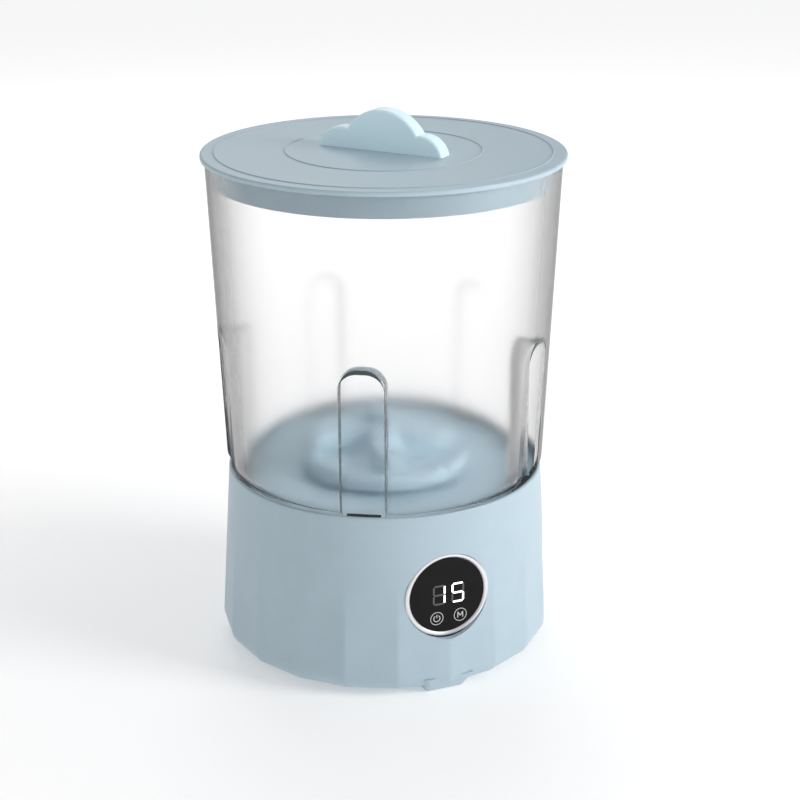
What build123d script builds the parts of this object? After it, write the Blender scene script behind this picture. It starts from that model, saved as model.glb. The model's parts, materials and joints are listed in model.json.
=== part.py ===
"""Portable mini washer: a frosted tub on a faceted drive base, with a lift-off lid.

Frame: +Z up, origin on the floor under the centre of the tub, the display faces -Y. Millimetres.
Azimuths are measured from the display's side, positive towards +X.
"""

import os
from math import acos, cos, pi, radians, sin, tan

from build123d import *

os.makedirs("parts", exist_ok=True)

BOTTOM = (Align.CENTER, Align.CENTER, Align.MIN)

# ---------------------------------------------------------------- driving dimensions
WALL = 2.5                    # moulded wall of the tub
GAP = 0.3                     # space between neighbouring pieces
SCREW_FIT = 0.05              # radial space round a screw
SHAFT_FIT = 0.04              # radial clearance of running fits
SCREW_R, SMALL_SCREW_R, WIDE_SCREW_R = 1.5, 1.3, 1.6

# Lid
LID_R = 120.0
LID_UNDER = 340.2             # underside of the lid's flange, where it rests on the tub
LID_THICK = 3.1
LID_TOP = LID_UNDER + LID_THICK
SKIRT_DEPTH = 15.0
SKIRT_WALL = 2.2
BEAD_RADII = (64.5, 110.7)    # two raised rings on the lid
BEAD_WIDTH, BEAD_HEIGHT, BEAD_SIDE = 2.4, 0.6, 50.0
LID_EDGE_R = 1.4

# Cloud handle: each lobe is (place along the plate, centre height, radius)
CLOUD_LOBES = ((-29.3, -3.5, 17.0), (1.5, -3.3, 30.5), (29.8, -3.2, 16.0))
CLOUD_THICK = 12.5
CLOUD_EDGE = 2.0
CLOUD_TURN = -50.5            # degrees from +X to the plate's long direction
CLOUD_SCREWS = (-24.0, 24.0)

# Tub
SEAM_Z = 127.5                # rim of the base, where the tub enters it
TUB_TOP_R = 117.4
TUB_LOW_R, TUB_LOW_Z = 108.3, 136.0
NECK_R, NECK_Z = 104.7, 112.0
FLANGE_IN_R, FLANGE_THICK = 86.0, 3.0
FLUTES = 5
FLUTE_PHASE = -29.8
FLUTE_WIDTH = 29.0
FLUTE_FLOOR_R = 100.0         # distance of a flute's upright floor from the axis
FLUTE_LOW, FLUTE_TOP = 118.0, 225.6
FLUTE_CORNER = 12.0

# Tub floor
FLOOR_TOP, FLOOR_THICK = 122.5, 3.0
FLOOR_R = 101.9
FLOOR_RING_OUT, FLOOR_RING_IN = FLUTE_FLOOR_R - WALL - GAP, 87.0
FLOOR_RING_Z = NECK_Z + FLANGE_THICK + 0.2
SEAL_IN_R, SEAL_OUT_R, SEAL_HEIGHT = 94.6, 96.6, 2.0
FLOOR_SCREW_R, TUB_SCREW_R = 92.0, 99.5
RIB_HEIGHT = 4.0
BOSS_R, BOSS_Z = 14.0, 101.3
BEARING_OUT_R, BEARING_WIDTH = 11.0, 7.0
LIP_SEAL_R, LIP_SEAL_Z, LIP_SEAL_HEIGHT = 9.0, 110.0, 6.5

# Base housing
FACETS = 20
BASE_Z = 3.5                  # bottom edge of the base above the floor
BASE_WALL = 2.6
RIM_R = 107.2                 # round envelope at the rim
FOOT_RING_R, FOOT_RING_Z = 114.0, 17.5
FLAT_FADE_Z, FLAT_FULL_Z = 85.0, 50.0     # the flats start at one height and are full at the other
BASE_EDGE_R = 14.0
RIM_EDGE_R = 1.2
RIM_IN_R = NECK_R + GAP
LEDGE_R, LEDGE_Z = 97.0, 108.3

FEET = (0, 120, 240)
FOOT_WIDTH, FOOT_FACE, FOOT_BACK = 28.0, 105.5, 93.0
FOOT_TOP_WIDTH, FOOT_TOP_FACE, FOOT_TOP = 35.0, 112.4, 12.0
PAD_SIZE, PAD_R, PAD_THICK, FOOT_CLEAR = (20.0, 7.0), 99.2, 1.5, 0.5
FOOT_EDGE_R = 2.5
# Each section of a foot is (height, width, distance of its face from the axis)
FOOT_SECTIONS = ((FOOT_CLEAR, FOOT_WIDTH, FOOT_FACE), (FOOT_TOP, FOOT_TOP_WIDTH, FOOT_TOP_FACE))

COVER_R, COVER_THICK = 92.0, 3.0
COVER_TOP = BASE_Z + COVER_THICK
COVER_SCREWS = (45, 135, 225, 315)
COVER_SCREW_R = 84.0
POST_R, POST_TOP = 5.0, 34.0

# Display
DISPLAY_Z = 69.8
DISPLAY_FACE = 107.8          # distance of the bezel's face from the axis
BEZEL_R, LENS_R = 29.5, 26.3
BEZEL_DEPTH, BEZEL_CHAMFER = 6.5, 0.9
LENS_THICK, LENS_BACK = 1.8, 2.4          # the lens is sunk below the bezel's face
MODULE_FRONT = DISPLAY_FACE - 2.6
MODULE_SIZE, MODULE_MID = (27.0, 18.0), (0.5, 1.0)
DIGIT_X, DIGIT_SIZE = (-6.2, 7.1), (14.0, 8.6)
BOARD_R, BOARD_THICK, BOARD_FRONT = 26.5, 1.6, 98.0
HOLDER_SCREW_X, HOLDER_FRONT, HOLDER_THICK = 38.0, 94.9, 2.5
HOLDER_WIDTH_UP, HOLDER_WINDOW_R = 44.0, 16.0
TOUCH_X, TOUCH_DROP, TOUCH_R = 8.4, 15.6, 3.0

# Power inlet
INLET_Z, INLET_R, INLET_FACE = 27.0, 5.7, 111.0
INLET_BACK = 96.0             # where the round nose meets the inlet's block
INLET_BLOCK = (14.0, 12.0, 13.0)
SOCKET_R, SOCKET_DEPTH, PIN_R, PIN_LENGTH = 2.8, 10.0, 1.0, 9.0

# Impeller and its shaft
IMPELLER_R, IMPELLER_Z, IMPELLER_RIM = 62.0, 125.5, 10.0
VANES, VANE_TOP = 4, 144.5
HUB_R, HUB_TOP = 15.0, 147.0
SHAFT_R, SHAFT_LOW, SHAFT_TOP = 4.0, 65.0, 137.0
SHAFT_FLAT = 3.0              # distance of the D flat from the shaft's axis
CLIP_Z, CLIP_SLOT, CLIP_BED_R, CLIP_R = 67.5, 1.2, 3.2, 6.5
VANE_TAPER = 14.0
IMPELLER_WALL = 4.0
WATER_HOLES = ((38.0, 2.2), (28.0, 1.8))  # each ring of holes is (ring radius, hole radius)
WATER_HOLE_TURN = 98.0

# Gear train: motor pinion, idler, output gear, in a line along +Y
MODULE = 1.0
PRESSURE_ANGLE = radians(25.0)
WHEEL_TEETH, PINION_TEETH = 42, 14
BACKLASH = 0.25
CENTRES = MODULE * (WHEEL_TEETH + PINION_TEETH) / 2
IDLER_Y, MOTOR_Y = CENTRES, 2 * CENTRES
OUTPUT_Z, OUTPUT_WIDTH = 86.0, 8.0
WHEEL_Z, WHEEL_WIDTH = 78.0, 6.0
MOTOR_PINION_Z, MOTOR_PINION_WIDTH = 76.0, 10.0
IDLER_PIN_R, MOTOR_SHAFT_R = 3.0, 1.58
WHEEL_HUB_R, WHEEL_DISH_R = 9.0, 17.0

PLATE_Z, PLATE_THICK = 97.9, 3.0
PLATE_SIZE, PLATE_MID_Y = (72.0, 124.0), 24.0
PLATE_SCREWS = ((-31, -14), (31, -14), (-31, 70), (31, 70))
CASE_Z, CASE_FLOOR, CASE_WALL = 70.0, 3.0, 2.5
CASE_TOP = PLATE_Z - 0.1
CASE_SIZE, CASE_MID_Y, CASE_CORNER = (48.0, 90.0), 21.0, 20.0
CASE_EARS = ((0, -30), (-29.5, 40), (29.5, 40))
EAR_R, EAR_HEIGHT = 4.5, 6.0
BUSH_R, BUSH_TOP = 6.5, 76.5

MOTOR_R, MOTOR_LOW, MOTOR_HIGH, CAN_WALL = 18.0, 24.0, 69.6, 1.2
MOTOR_SCREW_X = 12.5
MOTOR_NECK_R = 3.8
MAGNET_Z, MAGNET_LENGTH, MAGNET_IN_R, MAGNET_SPLIT = 33.0, 27.0, 13.4, 12.0
ROTOR_Z, ROTOR_LENGTH, ROTOR_R, ROTOR_SLOTS = 34.0, 25.0, 12.8, 5
ROTOR_SHAFT_Z, ROTOR_SHAFT_LENGTH = 22.0, 66.0
COMMUTATOR_Z, COMMUTATOR_LENGTH, COMMUTATOR_R = 28.0, 7.0, 4.0

CONTROL_BOARD = (90.0, 50.0, 1.6)
CONTROL_AT = (0.0, -32.0, 20.0)
CONTROL_SCREWS = ((-38, -50), (38, -50), (-38, -14), (38, -14))
# Parts on the board: round ones are (x, y, radius, height), blocks are (x, y, size)
ROUND_PARTS = ((-20, 8, 5.0, 14.0), (-32, 0, 3.2, 9.0))
BLOCK_PARTS = ((6, 4, (19, 15, 12)), (26, -12, (10, 6, 7)), (-8, -15, (15, 6, 8)), (30, 10, (9, 9, 2)))


def write(piece, label):
    """Labels a finished sub-part and writes its STEP file."""
    piece.part.label = label
    export_step(piece.part, f"parts/{label}.step")


def spot(azimuth, distance, z=0.0):
    """Point at a distance from the axis."""
    a = radians(azimuth)
    return (distance * sin(a), -distance * cos(a), z)


def tub_radius(z):
    """Outer radius of the tub's conical wall."""
    return TUB_LOW_R + (TUB_TOP_R - TUB_LOW_R) * (z - TUB_LOW_Z) / (LID_UNDER - TUB_LOW_Z)


def envelope_radius(z):
    """Radius of the base's round envelope."""
    return RIM_R + (FOOT_RING_R - RIM_R) * (SEAM_Z - z) / (SEAM_Z - FOOT_RING_Z)


FLAT_SHARE = cos(pi / FACETS)
LOW_APOTHEM = envelope_radius(BASE_Z) * FLAT_SHARE
FULL_APOTHEM = envelope_radius(FLAT_FULL_Z) * FLAT_SHARE
FADE_SLOPE = (FULL_APOTHEM - envelope_radius(FLAT_FADE_Z)) / (FLAT_FADE_Z - FLAT_FULL_Z)
HIGH_Z = SEAM_Z + 5
HIGH_APOTHEM = FULL_APOTHEM - FADE_SLOPE * (HIGH_Z - FLAT_FULL_Z)


def add_screws(places, shank_r, length, head_r, head_height):
    """Adds cross-head screws; at each place the screw's tip points along the local +Z."""
    for place in places:
        with Locations(place):
            Cylinder(shank_r, length, align=BOTTOM)
            Cylinder(head_r, head_height, align=(Align.CENTER, Align.CENTER, Align.MAX))
            with Locations((0, 0, -head_height)):
                Box(head_r * 1.2, 0.7, 1.6, mode=Mode.SUBTRACT)
                Box(0.7, head_r * 1.2, 1.6, mode=Mode.SUBTRACT)


def make_screws(label, places, shank_r, length, head_r=2.8, head_height=2.2):
    """A group of identical screws."""
    with BuildPart() as screws:
        add_screws(places, shank_r, length, head_r, head_height)
    write(screws, label)


def drill(place, radius, depth):
    """Cuts a plain hole that starts at a place and runs along its local +Z."""
    with Locations(place):
        Cylinder(radius, depth, align=BOTTOM, mode=Mode.SUBTRACT)


# ---------------------------------------------------------------- lid
def make_lid_panel():
    top_r = tub_radius(LID_UNDER) - WALL - 0.5
    low_z = LID_UNDER - SKIRT_DEPTH
    low_r = tub_radius(low_z) - WALL - 0.5
    with BuildPart() as lid:
        with BuildSketch(Plane.XZ):
            with BuildLine():
                Polyline(
                    (0, LID_TOP), (LID_R, LID_TOP), (LID_R, LID_UNDER), (top_r, LID_UNDER),
                    (low_r, low_z), (low_r - SKIRT_WALL, low_z), (top_r - SKIRT_WALL, LID_UNDER),
                    (0, LID_UNDER), close=True,
                )
            make_face()
        revolve(axis=Axis.Z)
        rim = lid.edges().filter_by(GeomType.CIRCLE).group_by(Axis.Z)[-1]
        fillet(rim, LID_EDGE_R)
        for radius in BEAD_RADII:
            with BuildSketch(Plane.XZ):
                with Locations((radius, LID_TOP)):
                    Trapezoid(BEAD_WIDTH, 2 * BEAD_HEIGHT, BEAD_SIDE)
            revolve(axis=Axis.Z)
        for along in CLOUD_SCREWS:
            with Locations(cloud_point(along, LID_UNDER)):
                Cylinder(SCREW_R + 0.1, 3 * LID_THICK, mode=Mode.SUBTRACT)
    write(lid, "lid_panel")


def cloud_point(along, z):
    """Point on the middle of the cloud plate."""
    a = radians(CLOUD_TURN)
    return (along * cos(a), along * sin(a), z)


def make_cloud_handle():
    a = radians(CLOUD_TURN)
    facing = Vector(sin(a), -cos(a), 0)
    middle = Plane(origin=(0, 0, LID_TOP), x_dir=(cos(a), sin(a), 0), z_dir=facing)
    with BuildPart() as cloud:
        for along, height, radius in CLOUD_LOBES:
            with BuildPart(middle, mode=Mode.PRIVATE) as lobe:
                with Locations((along, height, 0)):
                    Cylinder(radius, CLOUD_THICK)
                fillet(lobe.edges().filter_by(GeomType.CIRCLE), CLOUD_EDGE)
            add(lobe.part)
        with Locations((0, 0, LID_TOP)):
            Box(300, 300, 200, align=(Align.CENTER, Align.CENTER, Align.MAX), mode=Mode.SUBTRACT)
        for along in CLOUD_SCREWS:
            drill(Location(cloud_point(along, LID_TOP)), SCREW_R + SCREW_FIT, 9)
    write(cloud, "cloud_handle")


# ---------------------------------------------------------------- tub
def make_flute_tool(spread):
    """Solid that stands where a flute is, enlarged all round by the spread."""
    width = FLUTE_WIDTH + 2 * spread
    low = FLUTE_LOW - spread
    high = FLUTE_TOP + spread
    floor = Plane(origin=(0, -(FLUTE_FLOOR_R - spread), 0), x_dir=(1, 0, 0), z_dir=(0, -1, 0))
    with BuildPart() as tool:
        with BuildSketch(floor) as outline:
            with Locations((0, (low + high) / 2)):
                Rectangle(width, high - low)
            fillet(outline.vertices().group_by(Axis.Z)[-1], FLUTE_CORNER + spread)
        extrude(amount=40)
    return tool.part


def make_tub():
    outer_flute = make_flute_tool(0)
    inner_flute = make_flute_tool(WALL)
    flange_top = NECK_Z + FLANGE_THICK
    turns = [FLUTE_PHASE + k * 360 / FLUTES for k in range(FLUTES)]
    with BuildPart() as cavity:
        with BuildSketch(Plane.XZ):
            with BuildLine():
                low = (NECK_R - WALL, SEAM_Z + 0.5)
                high = (TUB_LOW_R - WALL, TUB_LOW_Z + 1)
                Line((0, flange_top), (NECK_R - WALL, flange_top))
                Line((NECK_R - WALL, flange_top), low)
                ThreePointArc(low, (TUB_LOW_R - WALL - 1.0, TUB_LOW_Z - 4.0), high)
                Line(high, (TUB_TOP_R - WALL, LID_UNDER))
                Line((TUB_TOP_R - WALL, LID_UNDER), (0, LID_UNDER))
                Line((0, LID_UNDER), (0, flange_top))
            make_face()
        revolve(axis=Axis.Z)
        for turn in turns:
            add(inner_flute.rotate(Axis.Z, turn), mode=Mode.SUBTRACT)
    with BuildPart() as tub:
        with BuildSketch(Plane.XZ):
            with BuildLine():
                top = LID_UNDER - 0.1
                Line((0, NECK_Z), (NECK_R, NECK_Z))
                Line((NECK_R, NECK_Z), (NECK_R, SEAM_Z))
                ThreePointArc((NECK_R, SEAM_Z), (TUB_LOW_R - 1.05, TUB_LOW_Z - 4.8), (TUB_LOW_R, TUB_LOW_Z))
                Line((TUB_LOW_R, TUB_LOW_Z), (tub_radius(top), top))
                Line((tub_radius(top), top), (0, top))
                Line((0, top), (0, NECK_Z))
            make_face()
        revolve(axis=Axis.Z)
        for turn in turns:
            add(outer_flute.rotate(Axis.Z, turn), mode=Mode.SUBTRACT)
        add(cavity.part, mode=Mode.SUBTRACT)
        with Locations((0, 0, NECK_Z - 1)):
            Cylinder(FLANGE_IN_R, FLANGE_THICK + 2, align=BOTTOM, mode=Mode.SUBTRACT)
        for place in floor_screw_places():
            drill(place, WIDE_SCREW_R + SCREW_FIT, FLANGE_THICK + 1)
        for place in tub_screw_places():
            drill(place, SCREW_R + SCREW_FIT, NECK_Z + 2.7 - LEDGE_Z)
    write(tub, "tub")


def floor_screw_places():
    return [Location(spot(42 + 72 * k, FLOOR_SCREW_R, NECK_Z)) for k in range(5)]


def tub_screw_places():
    return [Location(spot(6 + 72 * k, TUB_SCREW_R, LEDGE_Z)) for k in range(5)]


def plate_screw_places():
    return [Location((x, y, PLATE_Z)) for x, y in PLATE_SCREWS]


def case_screw_places():
    return [Location((x, y, CASE_TOP - EAR_HEIGHT)) for x, y in CASE_EARS]


def motor_screw_places():
    z = CASE_Z + CASE_FLOOR
    return [Location((x, MOTOR_Y, z), (180, 0, 0)) for x in (-MOTOR_SCREW_X, MOTOR_SCREW_X)]


def impeller_screw_place():
    return [Location((0, 0, SHAFT_TOP + 3.5), (180, 0, 0))]


def handle_screw_places():
    return [Location(cloud_point(along, LID_UNDER)) for along in CLOUD_SCREWS]


# ---------------------------------------------------------------- tub floor
def make_tub_floor():
    under = FLOOR_TOP - FLOOR_THICK
    ring_height = FLOOR_TOP - FLOOR_RING_Z
    rib_length = FLOOR_RING_IN - BOSS_R + 1
    with BuildPart() as floor:
        with Locations((0, 0, under)):
            Cylinder(FLOOR_R, FLOOR_THICK, align=BOTTOM)
        with PolarLocations(0, FLUTES, start_angle=FLUTE_PHASE - 90):
            with Locations((FLOOR_RING_OUT, 0, under)):
                Box(20, FLUTE_WIDTH + 2 * WALL + 2 * GAP, 20,
                    align=(Align.MIN, Align.CENTER, Align.CENTER), mode=Mode.SUBTRACT)
        with Locations((0, 0, FLOOR_RING_Z)):
            Cylinder(FLOOR_RING_OUT, ring_height, align=BOTTOM)
            Cylinder(FLOOR_RING_IN, under - FLOOR_RING_Z, align=BOTTOM, mode=Mode.SUBTRACT)
        with Locations((0, 0, BOSS_Z)):
            Cylinder(BOSS_R, under - BOSS_Z + 0.5, align=BOTTOM)
        with PolarLocations((BOSS_R + FLOOR_RING_IN) / 2, 8, start_angle=22.5):
            with Locations((0, 0, under + 0.2)):
                Box(rib_length, 2, RIB_HEIGHT, align=(Align.CENTER, Align.CENTER, Align.MAX))
        for x, y in PLATE_SCREWS:
            with Locations((x, y, PLATE_Z + PLATE_THICK + 0.1)):
                Cylinder(4.2, under - PLATE_Z - PLATE_THICK + 0.4, align=BOTTOM)
        # Bearing seat, lip seal seat and shaft opening, one above the other.
        drill(Location((0, 0, BOSS_Z)), BEARING_OUT_R + 0.02, BEARING_WIDTH + 0.2)
        drill(Location((0, 0, BOSS_Z)), 8.0, LIP_SEAL_Z - BOSS_Z + 1)
        drill(Location((0, 0, LIP_SEAL_Z)), LIP_SEAL_R + 0.02, LIP_SEAL_HEIGHT + 0.1)
        drill(Location((0, 0, LIP_SEAL_Z)), SHAFT_R + 1, 20)
        with BuildSketch(Plane.XY.offset(FLOOR_RING_Z)):
            Circle(SEAL_OUT_R)
            Circle(SEAL_IN_R, mode=Mode.SUBTRACT)
        extrude(amount=SEAL_HEIGHT, mode=Mode.SUBTRACT)
        for place in floor_screw_places():
            drill(place, WIDE_SCREW_R + SCREW_FIT, 8.5)
        for place in plate_screw_places():
            drill(place, SCREW_R + SCREW_FIT, 14.5)
    write(floor, "tub_floor")


def make_floor_seal():
    with BuildPart() as seal:
        with BuildSketch(Plane.XY.offset(NECK_Z + FLANGE_THICK)):
            Circle(SEAL_OUT_R - 0.05)
            Circle(SEAL_IN_R + 0.05, mode=Mode.SUBTRACT)
        extrude(amount=SEAL_HEIGHT + 0.1)
        fillet(seal.edges(), 0.4)
    write(seal, "floor_seal")


def make_lip_seal():
    with BuildPart() as seal:
        with BuildSketch(Plane.XZ):
            with BuildLine():
                low, high = LIP_SEAL_Z, LIP_SEAL_Z + LIP_SEAL_HEIGHT
                Polyline(
                    (LIP_SEAL_R, low), (LIP_SEAL_R, high), (5.0, high), (SHAFT_R + SHAFT_FIT, high - 1.5),
                    (SHAFT_R + SHAFT_FIT, high - 2.5), (6.0, high - 1.8), (6.8, low + 1), (6.8, low),
                    close=True,
                )
            make_face()
        revolve(axis=Axis.Z)
    write(seal, "lip_seal")


def make_shaft_bearing():
    low, high = BOSS_Z, BOSS_Z + BEARING_WIDTH
    with BuildPart() as bearing:
        with BuildSketch(Plane.XY.offset(low)):
            Circle(BEARING_OUT_R)
            Circle(SHAFT_R + SHAFT_FIT, mode=Mode.SUBTRACT)
        extrude(amount=BEARING_WIDTH)
        for z in (low, high):
            with BuildSketch(Plane.XY.offset(z)):
                Circle(9.2)
                Circle(6.4, mode=Mode.SUBTRACT)
            extrude(amount=0.6, both=True, mode=Mode.SUBTRACT)
    write(bearing, "shaft_bearing")


# ---------------------------------------------------------------- base housing
def make_faceted_body():
    """The outside of the base: a cone trimmed by flats that fade out upwards."""
    with BuildPart() as flats:
        with BuildSketch(Plane.XY.offset(BASE_Z)):
            RegularPolygon(LOW_APOTHEM, FACETS, major_radius=False)
        with BuildSketch(Plane.XY.offset(FLAT_FULL_Z)):
            RegularPolygon(FULL_APOTHEM, FACETS, major_radius=False)
        loft(ruled=True)
        fillet(flats.edges().group_by(Axis.Z)[0], BASE_EDGE_R)
        with BuildSketch(Plane.XY.offset(FLAT_FULL_Z)):
            RegularPolygon(FULL_APOTHEM, FACETS, major_radius=False)
        with BuildSketch(Plane.XY.offset(HIGH_Z)):
            RegularPolygon(HIGH_APOTHEM, FACETS, major_radius=False)
        loft(ruled=True)
        with BuildSketch(Plane.XZ):
            with BuildLine():
                Polyline(
                    (0, BASE_Z), (envelope_radius(BASE_Z) + 0.05, BASE_Z), (RIM_R, SEAM_Z), (0, SEAM_Z),
                    close=True,
                )
            make_face()
        revolve(axis=Axis.Z, mode=Mode.INTERSECT)
        rim = flats.edges().filter_by(GeomType.CIRCLE).group_by(Axis.Z)[-1]
        fillet(rim, RIM_EDGE_R)
    return flats.part


def make_base_housing():
    shell = make_faceted_body()
    foot = make_foot_block()
    with BuildPart() as housing:
        add(shell)
        add([foot.rotate(Axis.Z, azimuth) for azimuth in FEET])
        with BuildSketch(Plane.XZ):
            with BuildLine():
                Polyline(
                    (0, 0), (COVER_R + GAP, 0), (COVER_R + GAP, COVER_TOP), (104.0, COVER_TOP),
                    (109.4, 16.0), (FULL_APOTHEM - BASE_WALL, FLAT_FULL_Z),
                    (envelope_radius(FLAT_FADE_Z) - BASE_WALL, FLAT_FADE_Z),
                    (envelope_radius(LEDGE_Z) - BASE_WALL, LEDGE_Z), (LEDGE_R, LEDGE_Z),
                    (LEDGE_R, NECK_Z - 0.2), (RIM_IN_R, NECK_Z - 0.2), (RIM_IN_R, SEAM_Z + 1),
                    (0, SEAM_Z + 1), close=True,
                )
            make_face()
        revolve(axis=Axis.Z, mode=Mode.SUBTRACT)
        # Shallow pockets in the feet for the rubber pads.
        for place in pad_places():
            with Locations(place):
                Box(PAD_SIZE[0] + 0.2, PAD_SIZE[1] + 0.2, 2 * PAD_THICK, mode=Mode.SUBTRACT)
        # Posts for the bottom cover, each tied to the wall by a web.
        for azimuth in COVER_SCREWS:
            height = POST_TOP - COVER_TOP - 0.2
            with Locations(Location(spot(azimuth, COVER_SCREW_R, COVER_TOP + 0.2), (0, 0, azimuth))):
                Cylinder(POST_R, height, align=BOTTOM)
                Box(2, 26.3, height, align=(Align.CENTER, Align.MAX, Align.MIN))
            drill(Location(spot(azimuth, COVER_SCREW_R, COVER_TOP)), SCREW_R + SCREW_FIT, 16)
        # Bosses for the display holder, then the bezel's opening.
        for x in (-HOLDER_SCREW_X, HOLDER_SCREW_X):
            with Locations(Location((x, -HOLDER_FRONT - 0.1, DISPLAY_Z), (90, 0, 0))):
                Cylinder(4.0, 6.2, align=BOTTOM)
        for place in display_screw_places():
            drill(place, SMALL_SCREW_R + SCREW_FIT, 8.8)
        with Locations(Location((0, -90, DISPLAY_Z), (90, 0, 0))):
            Cylinder(BEZEL_R + 0.15, 40, align=BOTTOM, mode=Mode.SUBTRACT)
        # Opening for the power inlet.
        with Locations(Location((0, 95, INLET_Z), (-90, 0, 0))):
            Cylinder(INLET_R + 0.15, 30, align=BOTTOM, mode=Mode.SUBTRACT)
        for place in tub_screw_places():
            drill(place, SCREW_R + SCREW_FIT, 5)
    write(housing, "base_housing")


def make_foot_block():
    """One foot, under the display's side: a wedge that widens upwards into the base's rounded edge."""
    with BuildPart() as foot:
        for z, width, face in FOOT_SECTIONS:
            with BuildSketch(Plane.XY.offset(z)):
                with Locations((0, -(face + FOOT_BACK) / 2)):
                    Rectangle(width, face - FOOT_BACK)
        loft(ruled=True)
        fillet(foot.edges().filter_by(lambda edge: abs(edge.tangent_at(0.5).Z) > 0.7), FOOT_EDGE_R)
    return foot.part


def pad_places():
    return [Location(spot(azimuth, PAD_R), (0, 0, azimuth)) for azimuth in FEET]


def make_foot_pads():
    with BuildPart() as pads:
        for place in pad_places():
            with Locations(place):
                Box(PAD_SIZE[0], PAD_SIZE[1], PAD_THICK - 0.05, align=BOTTOM)
        fillet(pads.edges().filter_by(Axis.Z), 1.5)
    write(pads, "foot_pads")


def cover_screw_places():
    return [Location(spot(azimuth, COVER_SCREW_R, BASE_Z + 2.0)) for azimuth in COVER_SCREWS]


def control_screw_places():
    top = CONTROL_AT[2] + CONTROL_BOARD[2]
    return [Location((x, y, top), (180, 0, 0)) for x, y in CONTROL_SCREWS]


def make_bottom_cover():
    with BuildPart() as cover:
        with Locations((0, 0, BASE_Z)):
            Cylinder(COVER_R, COVER_THICK, align=BOTTOM)
        for x, y in CONTROL_SCREWS:
            with Locations((x, y, COVER_TOP - 0.5)):
                Cylinder(3.5, CONTROL_AT[2] - COVER_TOP + 0.4, align=BOTTOM)
        for place in control_screw_places():
            drill(place, SMALL_SCREW_R + SCREW_FIT, 9)
        for azimuth in COVER_SCREWS:
            drill(Location(spot(azimuth, COVER_SCREW_R, BASE_Z)), 3.0, 2.0)
            drill(Location(spot(azimuth, COVER_SCREW_R, BASE_Z)), 1.6, COVER_THICK)
        # Cooling slots in two short rows.
        for row in (-1, 1):
            with Locations(Location((row * 24, 40, BASE_Z))):
                with GridLocations(5, 1, 6, 1):
                    Box(2, 26, 2 * COVER_THICK + 1, mode=Mode.SUBTRACT)
    write(cover, "bottom_cover")


# ---------------------------------------------------------------- display
def facing_plane(distance):
    """Plane facing out of the display's side, centred on the display."""
    return Plane(origin=(0, -distance, DISPLAY_Z), x_dir=(1, 0, 0), z_dir=(0, -1, 0))


def display_screw_places():
    back = -(HOLDER_FRONT - HOLDER_THICK)
    return [Location((x, back, DISPLAY_Z), (90, 0, 0)) for x in (-HOLDER_SCREW_X, HOLDER_SCREW_X)]


def make_display_bezel():
    with BuildPart() as bezel:
        with BuildSketch(facing_plane(DISPLAY_FACE - BEZEL_DEPTH)):
            Circle(BEZEL_R)
            Circle(LENS_R - 1.8, mode=Mode.SUBTRACT)
        extrude(amount=BEZEL_DEPTH)
        with BuildSketch(facing_plane(DISPLAY_FACE - LENS_BACK - 0.1)):
            Circle(LENS_R + 0.1)
        extrude(amount=5, mode=Mode.SUBTRACT)
        rims = bezel.edges().filter_by(GeomType.CIRCLE).group_by(Axis.Y)[0]
        chamfer(rims, BEZEL_CHAMFER)
    write(bezel, "display_bezel")


def make_display_lens():
    with BuildPart() as lens:
        with BuildSketch(facing_plane(DISPLAY_FACE - LENS_BACK)):
            Circle(LENS_R)
        extrude(amount=LENS_THICK)
        fillet(lens.edges().group_by(Axis.Y)[0], 0.4)
    write(lens, "display_lens")


def make_digit_module():
    with BuildPart() as module:
        with BuildSketch(facing_plane(BOARD_FRONT)):
            with Locations(MODULE_MID):
                Rectangle(*MODULE_SIZE)
        extrude(amount=MODULE_FRONT - BOARD_FRONT)
        for column in DIGIT_X:
            with BuildSketch(facing_plane(MODULE_FRONT - 0.4)):
                with Locations((column, MODULE_MID[1])):
                    SlotOverall(*DIGIT_SIZE, rotation=90)
            extrude(amount=1, mode=Mode.SUBTRACT)
    write(module, "digit_module")


def make_touch_springs():
    with BuildPart() as springs:
        with BuildSketch(facing_plane(BOARD_FRONT)):
            with Locations((-TOUCH_X, -TOUCH_DROP), (TOUCH_X, -TOUCH_DROP)):
                Circle(TOUCH_R)
                Circle(TOUCH_R - 0.8, mode=Mode.SUBTRACT)
        extrude(amount=MODULE_FRONT - BOARD_FRONT)
    write(springs, "touch_springs")


def make_display_board():
    with BuildPart() as board:
        with BuildSketch(facing_plane(BOARD_FRONT - BOARD_THICK)):
            Circle(BOARD_R)
            with Locations((0, BOARD_R)):
                Rectangle(6, 4, mode=Mode.SUBTRACT)
        extrude(amount=BOARD_THICK)
    write(board, "display_board")


def make_display_holder():
    with BuildPart() as holder:
        with BuildSketch(facing_plane(HOLDER_FRONT - HOLDER_THICK)):
            RectangleRounded(2 * HOLDER_SCREW_X + 10, HOLDER_WIDTH_UP, 5)
            Circle(HOLDER_WINDOW_R, mode=Mode.SUBTRACT)
        extrude(amount=HOLDER_THICK)
        with BuildSketch(facing_plane(HOLDER_FRONT - 0.5)):
            Circle(BEZEL_R - 0.3)
            Circle(BOARD_R + 0.3, mode=Mode.SUBTRACT)
        extrude(amount=DISPLAY_FACE - BEZEL_DEPTH - HOLDER_FRONT + 0.4)
        with BuildSketch(facing_plane(HOLDER_FRONT - 0.5)):
            Circle(HOLDER_WINDOW_R + 5)
            Circle(HOLDER_WINDOW_R + 2, mode=Mode.SUBTRACT)
        extrude(amount=BOARD_FRONT - BOARD_THICK - HOLDER_FRONT + 0.4)
        for place in display_screw_places():
            drill(place, 1.5, HOLDER_THICK)
    write(holder, "display_holder")


# ---------------------------------------------------------------- electronics
def make_control_board():
    x, y, z = CONTROL_AT
    length, width, thick = CONTROL_BOARD
    with BuildPart() as board:
        with Locations((x, y, z)):
            Box(length, width, thick, align=BOTTOM)
        for place in control_screw_places():
            drill(place, 1.5, 3)
    write(board, "control_board")


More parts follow.
